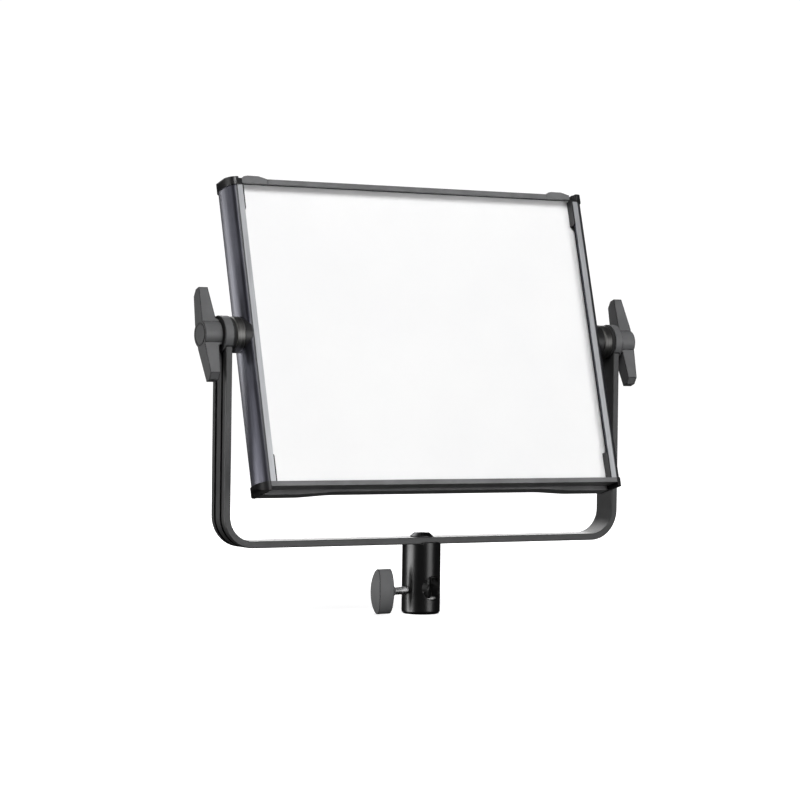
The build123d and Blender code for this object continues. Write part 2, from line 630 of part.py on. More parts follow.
def control_knob(x):
    """Knurled knob with its shaft."""
    front = HOUSING_BACK + 1.1
    knob = rod("y", 10.5, front, front + 13, x, CONTROL_Z)
    knob = fillet(knob.edges().sort_by(Axis.Y)[-1:], 1.2)
    knob -= rod("y", 7.6, front + 12.4, front + 14, x, CONTROL_Z)
    grooves = []
    for index in range(30):
        notch = Box(0.9, 9.0, 1.0)
        grooves.append(Pos(x, front + 5.5, CONTROL_Z) * Rot(0, index * 12, 0) * Pos(10.6, 0, 0) * notch)
    knob -= grooves
    knob -= rod("y", 4.2, front - 1, front + 1.4, x, CONTROL_Z)
    knob -= span(x - 0.6, x + 0.6, front + 12.0, front + 14, CONTROL_Z + 2.4, CONTROL_Z + 7.4)
    return knob + rod("y", 2.0, BOARD_BACK + 2.85, front + 1.6, x, CONTROL_Z)


# ---------------------------------------------------------------- battery plate

def wedge_pocket():
    """Tapered pocket, open at the top, that a battery's wedge slides down into."""
    outline = Polyline((-21, PLATE_TOP + 1), (21, PLATE_TOP + 1), (21, PLATE_TOP - 10), (13.5, PLATE_TOP - 64),
                       (-13.5, PLATE_TOP - 64), (-21, PLATE_TOP - 10), close=True)
    return extrude(Plane.XZ.offset(-PLATE_BACK - 1) * make_face(outline), POCKET_DEPTH + 1)


def battery_plate():
    """Moulded plate that takes a slide-on battery."""
    half = PLATE_WIDTH / 2
    plate = span(-half, half, HOUSING_BACK, PLATE_BACK, PLATE_BOTTOM, PLATE_TOP)
    plate = fillet(plate.edges().filter_by(Axis.Y), 6.0)
    plate = chamfer(plate.faces().sort_by(Axis.Y)[-1].edges(), 1.2)
    plate -= wedge_pocket()
    undercut = span(-23.5, 23.5, PLATE_BACK - POCKET_DEPTH, PLATE_BACK - 3.2, PLATE_TOP - 52, PLATE_TOP - 16)
    plate -= undercut
    floor_y, low, high = HOUSING_BACK + 0.8, CATCH_Z - 4.05, CATCH_Z + 4.05
    plate -= span(CATCH_X - 3.05, CATCH_X + 3.05, floor_y, PLATE_BACK + 1, low, high)
    plate -= span(CATCH_X - 3.05, half - 3, floor_y, HOUSING_BACK + 7.7, low, high)
    plate -= span(half - 4, half + 1, HOUSING_BACK + 4.9, HOUSING_BACK + 7.5, low, high)
    for x, z in PLATE_SCREWS:
        plate -= rod("y", 1.7, HOUSING_BACK - 1, PLATE_BACK + 1, x, z)
        plate -= rod("y", 3.2, PLATE_BACK - 3, PLATE_BACK + 1, x, z)
    plate -= span(-11, 11, HOUSING_BACK - 1, PLATE_BACK - 3, PLATE_BOTTOM + 8, PLATE_BOTTOM + 18)
    for index in range(5):
        x = (index - 2) * CONTACT_PITCH
        plate -= span(x - 0.8, x + 0.8, PLATE_BACK - 4, PLATE_BACK + 1, PLATE_BOTTOM + 9, PLATE_BOTTOM + 17)
    return plate


def battery_contacts():
    """Five blade contacts that stand in the plate's slots."""
    blades = []
    low, high = PLATE_BOTTOM + 9.6, PLATE_BOTTOM + 16.4
    for index in range(5):
        x = (index - 2) * CONTACT_PITCH
        blades.append(span(x - 0.5, x + 0.5, PLATE_BACK - 5.5, PLATE_BACK - 0.6, low, high))
    return group(*blades)


def battery_catch():
    """Catch that locks the battery's wedge; its foot is a ramp that the release slides over."""
    low, high = HOUSING_BACK + 4.6, PLATE_BACK + 2.4
    block = span(CATCH_X - 3, CATCH_X + 3, low, high, CATCH_Z - 4, CATCH_Z + 4)
    top = block.faces().sort_by(Axis.Y)[-1].edges().filter_by(Axis.X).sort_by(Axis.Z)[-1:]
    block = chamfer(top, 2.0)
    foot = Polyline((CATCH_X + 2.9, low), (CATCH_X + RAMP + 3, low), (CATCH_X + 3, low + RAMP),
                    (CATCH_X + 2.9, low + RAMP), close=True)
    block += Pos(0, 0, CATCH_Z - 4) * extrude(make_face(foot), 8)
    block -= span(CATCH_X + 0.1, CATCH_X + 4, low + RAMP, low + 2 * RAMP, CATCH_Z - 5, CATCH_Z + 5)
    return block - rod("y", 2.4, low - 1, low + 4.2, CATCH_X - 0.4, CATCH_Z)


def catch_spring():
    """Spring that pushes the catch out, as long as it is when pressed."""
    return ring("y", 2.2, 1.7, HOUSING_BACK + 0.85, HOUSING_BACK + 5.6, CATCH_X - 0.4, CATCH_Z)


def battery_release():
    """Side button whose ramp pulls the catch in; a shoulder keeps it in the plate."""
    half = PLATE_WIDTH / 2
    low, high = HOUSING_BACK + 5.0, HOUSING_BACK + 7.4
    contact = CATCH_X + 3 + HOUSING_BACK + 4.6 + RAMP + 0.1
    bar = Polyline((contact - low, low), (half + 4, low), (half + 4, high), (contact - high, high), close=True)
    button = Pos(0, 0, CATCH_Z - 3.9) * extrude(make_face(bar), 7.8)
    button = fillet(button.edges().group_by(Axis.X)[-1], 0.8)
    return button + span(half - 5.5, half - 3.2, low - 1.6, low + 0.1, CATCH_Z - 3.9, CATCH_Z + 3.9)


# ---------------------------------------------------------------- yoke and pivots

def u_block(inset, y0, y1, top):
    """U-shaped slab whose outline is the yoke's outside, moved inwards."""
    half = ARM_OUTER - inset
    foot = BAR_BOTTOM + inset
    outline = Pos(0, (foot + top) / 2) * Rectangle(2 * half, top - foot)
    outline = fillet(outline.vertices().group_by(Axis.Y)[0], CORNER_RADIUS - inset)
    return extrude(Plane.XZ.offset(-y1) * outline, y1 - y0)


def yoke():
    """Flat bar bent to a U, grooved on its outside, with a round eye at each end."""
    half = BAR_WIDTH / 2
    top = TILT_HEIGHT + half
    bar = u_block(0, -half, half, top) - u_block(BAR_THICK, -half - 1, half + 1, top + 1)
    bar = chamfer(bar.faces().filter_by(Axis.Y).edges(), 0.5)
    for y in (-GROOVE_OFFSET, GROOVE_OFFSET):
        y0, y1 = y - GROOVE_WIDTH / 2, y + GROOVE_WIDTH / 2
        bar -= u_block(-1, y0, y1, TILT_HEIGHT - 12) - u_block(GROOVE_DEPTH, y0 - 1, y1 + 1, TILT_HEIGHT)
    corner = span(-200, 200, -half - 1, half + 1, TILT_HEIGHT, top + 1)
    bar -= corner - rod("x", half, -201, 201, 0, TILT_HEIGHT)
    bar -= rod("x", SPIGOT_RADIUS + RUNNING_GAP, -201, 201, 0, TILT_HEIGHT)
    return bar - rod("z", 5.2, BAR_BOTTOM - 1, BAR_BOTTOM + 10)


def arm_collar():
    """Moulded cup over the eye at the top of the right-hand arm."""
    inner = ARM_OUTER - BAR_THICK
    half = BAR_WIDTH / 2
    cup = rod("x", COLLAR_RADIUS, inner, COLLAR_OUTER, 0, TILT_HEIGHT)
    cup = fillet(cup.edges().filter_by(GeomType.CIRCLE).sort_by(Axis.X)[-1:], 0.8)
    cup -= rod("x", half, inner - 1, ARM_OUTER, 0, TILT_HEIGHT)
    cup -= span(inner - 1, ARM_OUTER, -half, half, TILT_HEIGHT - 30, TILT_HEIGHT)
    cup -= rod("x", SPIGOT_RADIUS + RUNNING_GAP, inner, COLLAR_OUTER + 1, 0, TILT_HEIGHT)
    return cup - rod("x", 8.6, COLLAR_OUTER - 1.4, COLLAR_OUTER + 1, 0, TILT_HEIGHT)


def rubber_washer():
    """Friction washer between the arm and the pivot boss."""
    inner = BOSS_OUTER + RUNNING_GAP
    return ring("x", BOSS_RADIUS - 0.4, SPIGOT_RADIUS + 0.3, inner, ARM_OUTER - BAR_THICK, 0, TILT_HEIGHT)


def pivot_spacer():
    """Moulded saddle between the rail's curved side and the boss."""
    pad = ring("x", BOSS_RADIUS - 0.8, STUB_RADIUS, HALF_WIDTH + 1, BOSS_INNER)
    return pad - Pos(0, 0, -30) * extrude(side_outline(), 60)


def pivot_boss():
    """Turned boss on the head that the arm turns on."""
    disc = rod("x", BOSS_RADIUS, BOSS_INNER, BOSS_OUTER)
    disc = chamfer(disc.edges().filter_by(GeomType.CIRCLE), 0.7)
    disc += rod("x", SPIGOT_RADIUS, BOSS_OUTER - 1, COLLAR_OUTER - 1.5)
    disc += rod("x", STUB_RADIUS, SLOT_FLOOR + 0.2, BOSS_INNER + 1)
    return disc - rod("x", SCREW_RADIUS, SLOT_FLOOR + 0.6, COLLAR_OUTER + 1)


# ---------------------------------------------------------------- tilt knobs

def tilt_washer():
    """Captive washer between the knob and the arm."""
    inner = COLLAR_OUTER - 1.4 + RUNNING_GAP
    return ring("x", 8.5, SCREW_RADIUS + 0.2, inner, inner + WASHER_THICK)


def tilt_knob():
    """Two-winged moulded knob; the wings thin out and lean in towards their tips."""
    reach = KNOB_HALF_LENGTH
    plan = Polyline((5.6, 9.0), (4.6, reach - 4.0), (0.6, reach), (-4.6, reach), (-6.4, 9.0),
                    (-5.6, -9.0), (-4.6, -reach + 4.0), (-0.6, -reach), (4.6, -reach), (6.4, -9.0), close=True)
    blank = extrude(Plane.YZ.offset(KNOB_INNER) * make_face(plan), 20)
    blank += rod("x", KNOB_HUB_RADIUS, KNOB_INNER, KNOB_INNER + 20)
    outer, tip = KNOB_OUTER, KNOB_OUTER - WING_DROP
    root, thin = KNOB_INNER + 2.6, tip - 7.0
    side = Polyline((KNOB_INNER, 0), (KNOB_INNER, 8.9), (root, 10.0), (thin, reach), (tip, reach),
                    (outer, 9.0), (outer, -9.0), (tip, -reach), (thin, -reach), (root, -10.0),
                    (KNOB_INNER, -8.9), close=True)
    profile = extrude(Plane.XZ.offset(-15) * make_face(side), 30)
    knob = blank & profile
    knob = knob - rod("x", SCREW_RADIUS, KNOB_INNER - 1, KNOB_OUTER - 4)
    knob += ring("x", 7.9, 7.3, KNOB_OUTER - 0.5, KNOB_OUTER + 0.35)
    knob += rod("x", 7.4, KNOB_OUTER - 0.5, KNOB_OUTER + 0.15)
    return knob


def tilt_screw():
    """Threaded stud moulded into the knob."""
    thread = SCREW_RADIUS - RUNNING_GAP
    return rod("x", thread, BOSS_INNER - 3, KNOB_INNER) + rod("x", SCREW_RADIUS, KNOB_INNER, KNOB_OUTER - 4)


# ---------------------------------------------------------------- stand receiver

def stand_receiver():
    """Turned receiver with an upright socket, a cross socket and a channel for the bar."""
    top = BAR_BOTTOM + RECEIVER_LIP
    body = rod("z", RECEIVER_RADIUS, 0, top)
    body = fillet(body.edges().filter_by(GeomType.CIRCLE).sort_by(Axis.Z)[:1], 2.6)
    body = chamfer(body.edges().filter_by(GeomType.CIRCLE).sort_by(Axis.Z)[-1:], 0.4)
    body -= span(-20, 20, -12.0, 12.0, BAR_BOTTOM, top + 1)
    body -= rod("z", SOCKET_RADIUS, -1, SOCKET_DEPTH)
    body -= rod("y", SOCKET_RADIUS, -20, 20, 0, SIDE_SOCKET_Z)
    for start, end in ((-RECEIVER_RADIUS, -11.0), (11.0, RECEIVER_RADIUS)):
        body -= countersink(start, end)
    body -= rod("z", 4.2, SOCKET_DEPTH - 1, BAR_BOTTOM + 1)
    return body - rod("x", SCREW_RADIUS, -RECEIVER_RADIUS - 1, 0, 0, CLAMP_Z)


def countersink(start, end):
    """Bevelled mouth of the cross socket."""
    depth = end - start
    wide, narrow = SOCKET_RADIUS + 0.9, SOCKET_RADIUS
    bottom, top = (wide, narrow) if start < 0 else (narrow, wide)
    cone = Cone(top, bottom, depth)
    return Pos(0, (start + end) / 2, SIDE_SOCKET_Z) * Rot(90, 0, 0) * cone


def yoke_bolt():
    """Low-head bolt that holds the yoke to the receiver."""
    bar_top = BAR_BOTTOM + BAR_THICK
    head = Pos(0, 0, bar_top + BOLT_RIM) * Cone(BOLT_HEAD_RADIUS, BOLT_TOP_RADIUS, BOLT_HEAD_HEIGHT - BOLT_RIM,
                                                align=(Align.CENTER, Align.CENTER, Align.MIN))
    head += rod("z", BOLT_HEAD_RADIUS, bar_top, bar_top + BOLT_RIM)
    head = fillet(head.edges().filter_by(GeomType.CIRCLE).sort_by(Axis.Z)[-1:], 1.0)
    head += rod("z", 4.2, SOCKET_DEPTH + 1, bar_top + 0.5)
    socket = extrude(RegularPolygon(3.0, 6, major_radius=False), 4)
    return head - Pos(0, 0, bar_top + 1.4) * socket


def clamp_pad():
    """Brass tip that presses on the stud and does not turn."""
    start = -SOCKET_RADIUS - 0.2 - PAD_LENGTH
    return rod("x", SCREW_RADIUS - 0.07, start, -SOCKET_RADIUS - 0.2, 0, CLAMP_Z)


def clamp_screw():
    thread = SCREW_RADIUS - RUNNING_GAP
    tip = -SOCKET_RADIUS - 0.25 - PAD_LENGTH
    return rod("x", thread, -CLAMP_KNOB_OUTER + 3, tip, 0, CLAMP_Z)


def clamp_knob():
    """Oval bar knob with a crowned face and a short cone neck."""
    half_height, half_width = CLAMP_KNOB_HEIGHT / 2, CLAMP_KNOB_WIDTH / 2
    oval = Pos(0, CLAMP_Z) * Ellipse(half_width, half_height)
    grip = extrude(Plane.YZ.offset(-CLAMP_KNOB_OUTER - 1.9) * oval, CLAMP_KNOB_OUTER + 1.9 - CLAMP_KNOB_INNER)
    crown = Pos(-CLAMP_KNOB_OUTER - 1.9 + 72, 0, CLAMP_Z) * Rot(90, 0, 0) * Cylinder(72, 40)
    grip = grip & crown
    neck = Pos(-CLAMP_KNOB_INNER + 1.5, 0, CLAMP_Z) * Rot(0, 90, 0) * Cone(6.0, 3.8, 3.2)
    knob = grip + neck
    return knob - rod("x", SCREW_RADIUS - RUNNING_GAP, -CLAMP_KNOB_OUTER + 3, 0, 0, CLAMP_Z)


# ---------------------------------------------------------------- writing the nodes

def write_pair(name, shape, place):
    """The right-hand piece and its mirror image."""
    write(name + "_right", shape, place)
    write(name + "_left", mirrored(shape), place)


def write_head():
    write_pair("side_rail", side_rail(), HEAD_PLACE)
    write("top_end_caps", both(end_cap(True)), HEAD_PLACE)
    write("bottom_end_caps", both(end_cap(False)), HEAD_PLACE)
    write("end_cap_screws", both(group(end_cap_screw(True), end_cap_screw(False))), HEAD_PLACE)
    write("top_bar", top_bar(), HEAD_PLACE)
    write("bottom_bar", bottom_bar(), HEAD_PLACE)
    write("accessory_latch_right", latch(1), HEAD_PLACE)
    write("accessory_latch_left", latch(-1), HEAD_PLACE)
    write("latch_pins", latch_pins(), HEAD_PLACE)
    write("latch_springs", latch_springs(), HEAD_PLACE)
    write("corner_clips", corner_clips(), HEAD_PLACE)
    write("diffuser", diffuser(), HEAD_PLACE)
    write("mixing_tray", mixing_tray(), HEAD_PLACE)
    write("led_board", led_board(), HEAD_PLACE)
    write("led_chips", led_chips(), HEAD_PLACE)
    write("heat_sink", heat_sink(), HEAD_PLACE)
    write("back_cover", back_cover(), HEAD_PLACE)


def write_controls():
    write("control_housing", control_housing(), HEAD_PLACE)
    write("rear_screws", rear_screws(), HEAD_PLACE)
    write("control_board", control_board(), HEAD_PLACE)
    write("driver_board", driver_board(), HEAD_PLACE)
    write("display_panel", display_panel(), HEAD_PLACE)
    write("display_window", display_window(), HEAD_PLACE)
    write("encoder_cases", group(encoder_case(-ENCODER_X), encoder_case(ENCODER_X)), HEAD_PLACE)
    for name, x in (("dimmer", -ENCODER_X), ("colour", ENCODER_X)):
        write(name + "_plunger", encoder_plunger(x), HEAD_PLACE)
        write(name + "_knob", control_knob(x), HEAD_PLACE)
    for index, name in ((-1, "mode_button"), (0, "menu_button"), (1, "back_button")):
        write(name, push_button(index), HEAD_PLACE)
    write("switch_body", switch_body(), HEAD_PLACE)
    write("power_rocker", power_rocker(), HEAD_PLACE)
    write("power_socket", power_socket(), HEAD_PLACE)
    write("data_port", data_port(), HEAD_PLACE)
    write("battery_plate", battery_plate(), HEAD_PLACE)
    write("battery_contacts", battery_contacts(), HEAD_PLACE)
    write("battery_catch", battery_catch(), HEAD_PLACE)
    write("catch_spring", catch_spring(), HEAD_PLACE)
    write("battery_release", battery_release(), HEAD_PLACE)


def write_pivots():
    write_pair("pivot_boss", pivot_boss(), HEAD_PLACE)
    write("pivot_spacers", both(pivot_spacer()), HEAD_PLACE)
    write("pivot_nut_plates", both(pivot_nut_plate()), HEAD_PLACE)
    turned = Pos(0, 0, TILT_HEIGHT) * Rot(-KNOB_TURN, 0, 0)
    write_pair("tilt_washer", tilt_washer(), turned)
    write_pair("tilt_knob", tilt_knob(), turned)
    write_pair("tilt_screw", tilt_screw(), turned)


def write_stand():
    write("yoke", yoke())
    write("arm_collars", both(arm_collar()))
    write("rubber_washers", both(rubber_washer()))
    write("yoke_bolt", yoke_bolt())
    write("stand_receiver", stand_receiver(), RECEIVER_PLACE)
    write("clamp_pad", clamp_pad(), RECEIVER_PLACE)
    write("clamp_screw", clamp_screw(), RECEIVER_PLACE)
    write("clamp_knob", clamp_knob(), RECEIVER_PLACE)


os.makedirs("parts", exist_ok=True)
write_head()
write_controls()
write_pivots()
write_stand()
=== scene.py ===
import json
import math

import bmesh
import bpy
from mathutils import Matrix, Vector

# Looks of an LED panel light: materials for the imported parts, a pale floor, soft studio light and the camera.
# Metres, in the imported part's own frame.

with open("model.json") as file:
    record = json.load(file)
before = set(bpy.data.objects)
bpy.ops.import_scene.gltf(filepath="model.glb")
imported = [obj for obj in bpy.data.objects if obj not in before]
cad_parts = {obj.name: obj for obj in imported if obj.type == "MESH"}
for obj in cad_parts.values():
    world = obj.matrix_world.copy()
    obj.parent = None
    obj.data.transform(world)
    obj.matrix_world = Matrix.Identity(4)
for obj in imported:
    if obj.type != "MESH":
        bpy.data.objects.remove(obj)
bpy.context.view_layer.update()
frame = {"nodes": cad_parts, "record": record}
scene = bpy.context.scene

# ---- places taken over from the part ----
TILT_HEIGHT = 0.203
HEAD_LEAN = math.radians(15.6)
RECEIVER_TURN = math.radians(8.4)
FRONT_LIP_Y = -0.0114
LIP_INNER_HALF_WIDTH = 0.1459
YOKE_CORNER_RADIUS = 0.023
YOKE_CORNER_X = 0.1445
YOKE_CORNER_Z = 0.0748
YOKE_HALF_THICKNESS = 0.0025
GROOVE_Y = 0.0046
GROOVE_HALF_WIDTH = 0.0015
COLLAR_FACE = 0.1692
HUB_START = 0.1697
SIDE_SOCKET_Z = 0.0195
SOCKET_WALL = 0.0082
RECEIVER_SKIN = 0.0139
DISPLAY_HALF_WIDTH = 0.0128
BARE_SIDE_X = 0.0020

# ---- fineness of the surface patterns, in cycles per metre ----
GRAIN = 1500.0
PATCHES = 60.0
MOULD_PATCHES = 45.0
MENU_ROWS = 180.0

# ---- share of a menu row that its bar takes up ----
MENU_BAR_LOW = 0.42
MENU_BAR_HIGH = 0.72
MENU_BAR_BLEND = 0.04

# ---- part of a noise's range that the patterns use ----
NOISE_LOW = 0.3
NOISE_HIGH = 0.7
PATCH_LOW = 0.35
PATCH_HIGH = 0.65

# ---- camera ----
CAMERA_YAW = math.radians(30.42)
CAMERA_PITCH = math.radians(-0.63)
CAMERA_ROLL = math.radians(0.75)
CAMERA_DISTANCE = 1.9639
CAMERA_TARGET = Vector((0.0, 0.0, 0.1577))
CAMERA_LENS = 119.6
CAMERA_SENSOR = 36.0
CAMERA_SHIFT_X = -0.0292

# ---- studio ----
FLOOR_HALF_SIZE = 6.0
# Painted contact shade: the floor's glow weakens within this distance of the object.
PAINTED_CONTACT_SHADE_START = 0.02
PAINTED_CONTACT_SHADE_END = 0.35
BACKGROUND_WHITE = 1.05
ROOM_LOW = 0.03
ROOM_HIGH = 0.10
ROOM_LOW_HEIGHT = -0.2
ROOM_HIGH_HEIGHT = 0.9


# ---------------------------------------------------------------- shader helpers

class Shader:
    """A material's node tree with short calls for the nodes used here."""

    def __init__(self, name):
        self.material = bpy.data.materials.new(name)
        self.material.use_nodes = True
        self.tree = self.material.node_tree
        self.surface = self.tree.nodes["Principled BSDF"]

    def node(self, kind, **settings):
        made = self.tree.nodes.new(kind)
        for key, value in settings.items():
            setattr(made, key, value)
        return made

    def feed(self, socket, value):
        """Connects an output to an input, or sets the input to a plain value."""
        if isinstance(value, bpy.types.NodeSocket):
            self.tree.links.new(value, socket)
        else:
            socket.default_value = value

    def put(self, name, value):
        self.feed(self.surface.inputs[name], value)

    def place(self, origin=(0, 0, 0), turn=(0, 0, 0)):
        """The point in a frame that sits at origin and is turned by turn."""
        coordinates = self.node("ShaderNodeTexCoord")
        mapping = self.node("ShaderNodeMapping", vector_type="TEXTURE")
        mapping.inputs["Location"].default_value = origin
        mapping.inputs["Rotation"].default_value = turn
        self.feed(mapping.inputs["Vector"], coordinates.outputs["Object"])
        return mapping.outputs["Vector"]

    def head_place(self):
        return self.place((0, 0, TILT_HEIGHT), (-HEAD_LEAN, 0, 0))

    def stretch(self, point, scale):
        mapping = self.node("ShaderNodeMapping", vector_type="POINT")
        mapping.inputs["Scale"].default_value = scale
        self.feed(mapping.inputs["Vector"], point)
        return mapping.outputs["Vector"]

    def split(self, point):
        """The three coordinates of a point."""
        parts = self.node("ShaderNodeSeparateXYZ")
        self.feed(parts.inputs[0], point)
        return parts.outputs[:3]

    def noise(self, point, scale, detail=3.0, roughness=0.55):
        noise = self.node("ShaderNodeTexNoise")
        noise.inputs["Scale"].default_value = scale
        noise.inputs["Detail"].default_value = detail
        noise.inputs["Roughness"].default_value = roughness
        self.feed(noise.inputs["Vector"], point)
        return noise.outputs["Fac"]

    def math(self, operation, a, b=0.0, c=0.0):
        made = self.node("ShaderNodeMath", operation=operation)
        self.feed(made.inputs[0], a)
        self.feed(made.inputs[1], b)
        self.feed(made.inputs[2], c)
        return made.outputs[0]

    def plus(self, a, b):
        return self.math("ADD", a, b)

    def minus(self, a, b):
        return self.math("SUBTRACT", a, b)

    def times(self, a, b):
        return self.math("MULTIPLY", a, b)

    def size(self, a):
        return self.math("ABSOLUTE", a)

    def length(self, a, b):
        """Length of the flat vector (a, b)."""
        return self.math("SQRT", self.plus(self.math("POWER", a, 2.0), self.math("POWER", b, 2.0)))

    def shift(self, base, share, amount):
        """The base, moved by amount where share is 1."""
        return self.math("MULTIPLY_ADD", share, amount, base)

    def ramp(self, value, low, high, out_low=0.0, out_high=1.0):
        """Maps low..high to out_low..out_high with soft ends."""
        made = self.node("ShaderNodeMapRange", interpolation_type="SMOOTHSTEP")
        self.feed(made.inputs["Value"], value)
        self.feed(made.inputs["From Min"], low)
        self.feed(made.inputs["From Max"], high)
        self.feed(made.inputs["To Min"], out_low)
        self.feed(made.inputs["To Max"], out_high)
        return made.outputs["Result"]

    def spread(self, noise, out_low, out_high):
        """Maps a noise's usual range to out_low..out_high."""
        return self.ramp(noise, NOISE_LOW, NOISE_HIGH, out_low, out_high)

    def over(self, value, edge, blend):
        """0 up to edge, 1 from blend past it."""
        return self.ramp(value, edge, edge + blend)

    def under(self, value, edge, blend):
        """1 up to edge, 0 from blend past it."""
        return self.ramp(value, edge, edge + blend, 1.0, 0.0)

    def mix(self, share, a, b):
        """Colour a where share is 0, colour b where it is 1."""
        made = self.node("ShaderNodeMix", data_type="RGBA")
        self.feed(made.inputs[0], share)
        self.feed(made.inputs[6], rgba(a))
        self.feed(made.inputs[7], rgba(b))
        return made.outputs[2]

    def mottle(self, noise, a, b, low=NOISE_LOW, high=NOISE_HIGH):
        """Colour that wanders between a and b with the noise."""
        return self.mix(self.ramp(noise, low, high), a, b)

    def edges(self, radius, low=0.02, high=0.25):
        """1 along sharp edges, 0 on open faces."""
        bevel = self.node("ShaderNodeBevel", samples=4)
        bevel.inputs["Radius"].default_value = radius
        geometry = self.node("ShaderNodeNewGeometry")
        dot = self.node("ShaderNodeVectorMath", operation="DOT_PRODUCT")
        self.feed(dot.inputs[0], bevel.outputs["Normal"])
        self.feed(dot.inputs[1], geometry.outputs["Normal"])
        return self.ramp(self.minus(1.0, dot.outputs["Value"]), low, high)

    def relief(self, height, strength, distance, rounding=0.0003):
        """Bump from height on top of softly rounded edges."""
        bevel = self.node("ShaderNodeBevel", samples=4)
        bevel.inputs["Radius"].default_value = rounding
        bump = self.node("ShaderNodeBump")
        bump.inputs["Strength"].default_value = strength
        bump.inputs["Distance"].default_value = distance
        self.feed(bump.inputs["Height"], height)
        self.feed(bump.inputs["Normal"], bevel.outputs["Normal"])
        self.put("Normal", bump.outputs["Normal"])


def rgba(value):
    """Adds the alpha a colour input needs; leaves outputs alone."""
    if isinstance(value, tuple) and len(value) == 3:
        return (*value, 1.0)
    return value


def brighter(colour, factor, extra=0.0):
    return tuple(min(1.0, channel * factor + extra) for channel in colour)


# ---------------------------------------------------------------- materials

def worn_lit_paint(shader, point, colour, lighter, worn_lit_colour):
    """Paint colour with slight tone patches and lighter edges, partly rubbed wear and partly painted highlight.
    """
    patches = shader.noise(point, PATCHES)
    base = shader.mottle(patches, colour, lighter, PATCH_LOW, PATCH_HIGH)
    # Lighter edges: partly rubbed wear, partly painted highlight.
    wear_and_highlight = shader.times(shader.edges(0.0005), shader.ramp(patches, 0.3, 0.6, 0.3, 0.8))
    return shader.mix(wear_and_highlight, base, worn_lit_colour)


def powder_coat(name, colour, roughness):
    """Fine powder coat with an orange-peel grain."""
    shader = Shader(name)
    point = shader.place()
    grain = shader.noise(point, GRAIN)
    # Edges lighter: partly wear, partly painted highlight.
    paint = worn_lit_paint(shader, point, colour, brighter(colour, 1.25), brighter(colour, 1.9, 0.03))
    shader.put("Base Color", paint)
    shader.put("Roughness", shader.spread(grain, roughness - 0.06, roughness + 0.08))
    shader.put("Specular IOR Level", 0.5)
    shader.relief(grain, 0.3, 0.00012, 0.0005)
    return shader.material


def yoke_grooves(shader, point):
    """1 in the two grooves along the outside of the U, where painted shade goes; 0 elsewhere."""
    x, y, z = shader.split(point)
    beside = shader.math("MAXIMUM", shader.minus(shader.size(x), YOKE_CORNER_X), 0.0)
    below = shader.math("MAXIMUM", shader.minus(YOKE_CORNER_Z, z), 0.0)
    middle = YOKE_CORNER_RADIUS - YOKE_HALF_THICKNESS
    outside = shader.ramp(shader.length(beside, below), middle - 0.0002, middle)
    from_groove = shader.size(shader.minus(shader.size(y), GROOVE_Y))
    return shader.times(shader.under(from_groove, GROOVE_HALF_WIDTH, 0.0001), outside)


def yoke_coat(name):
    """Powder-coated yoke bar; the grooves on its outside get painted shade, near-black with little shine."""
    shader = Shader(name)
    point = shader.place()
    grain = shader.noise(point, GRAIN)
    groove_shade = yoke_grooves(shader, point)
    # Edges lighter: partly wear, partly painted highlight.
    paint = worn_lit_paint(shader, point, (0.033, 0.0334, 0.0342), (0.040, 0.0405, 0.0415), (0.09, 0.09, 0.09))
    # Painted shade in the grooves: near-black colour.
    shader.put("Base Color", shader.mix(groove_shade, paint, (0.002, 0.002, 0.002)))
    shader.put("Roughness", shader.spread(grain, 0.40, 0.54))
    shader.put("Specular IOR Level", shader.shift(0.5, groove_shade, -0.45))
    shader.relief(grain, 0.3, 0.00012, 0.0005)
    return shader.material


def moulded(name, colour, roughness, scale=1800.0, strength=0.35, shine=0.45):
    """Moulded plastic with an etched grain and lighter edges, partly wear and partly painted highlight."""
    shader = Shader(name)
    point = shader.place()
    grain = shader.noise(point, scale)
    patches = shader.noise(point, MOULD_PATCHES)
    base = shader.mottle(patches, colour, brighter(colour, 1.2, 0.002), PATCH_LOW, PATCH_HIGH)
    # Lighter edges in the base colour: partly wear, partly painted highlight.
    worn_lit_edge = shader.times(shader.edges(0.0006), 0.6)
    shader.put("Base Color", shader.mix(worn_lit_edge, base, brighter(colour, 1.5, 0.012)))
    shader.put("Roughness", shader.spread(patches, roughness - 0.05, roughness + 0.06))
    shader.put("Specular IOR Level", shine)
    shader.relief(grain, strength, 0.0001, 0.0006)
    return shader.material


def knob_plastic(name):
    """Grey knob plastic with painted shade: dark lines along its edges and a black outer face on the arm
    collars.
    """
    shader = Shader(name)
    point = shader.place()
    grain = shader.noise(point, GRAIN)
    patches = shader.noise(point, MOULD_PATCHES)
    base = shader.mottle(patches, (0.098, 0.099, 0.101), (0.118, 0.119, 0.122), PATCH_LOW, PATCH_HIGH)
    # Painted shade: dark lines along the knob's sharp edges.
    edge_shade = shader.edges(0.0013, 0.003, 0.05)
    # Painted shade on the arm collars' outer face, between the collar and the hub.
    across = shader.size(shader.split(point)[0])
    past_collar = shader.over(across, COLLAR_FACE, 0.0002)
    collar_face_shade = shader.times(past_collar, shader.under(across, HUB_START - 0.0001, 0.0001))
    # Near-black with little shine where painted shade falls on edges and collar faces.
    dark = shader.times(shader.math("MAXIMUM", edge_shade, collar_face_shade), 0.9)
    shader.put("Base Color", shader.mix(dark, base, (0.004, 0.004, 0.004)))
    shader.put("Roughness", shader.spread(grain, 0.42, 0.52))
    shader.put("Specular IOR Level", shader.shift(0.45, dark, -0.42))
    shader.relief(grain, 0.35, 0.0001, 0.0004)
    return shader.material


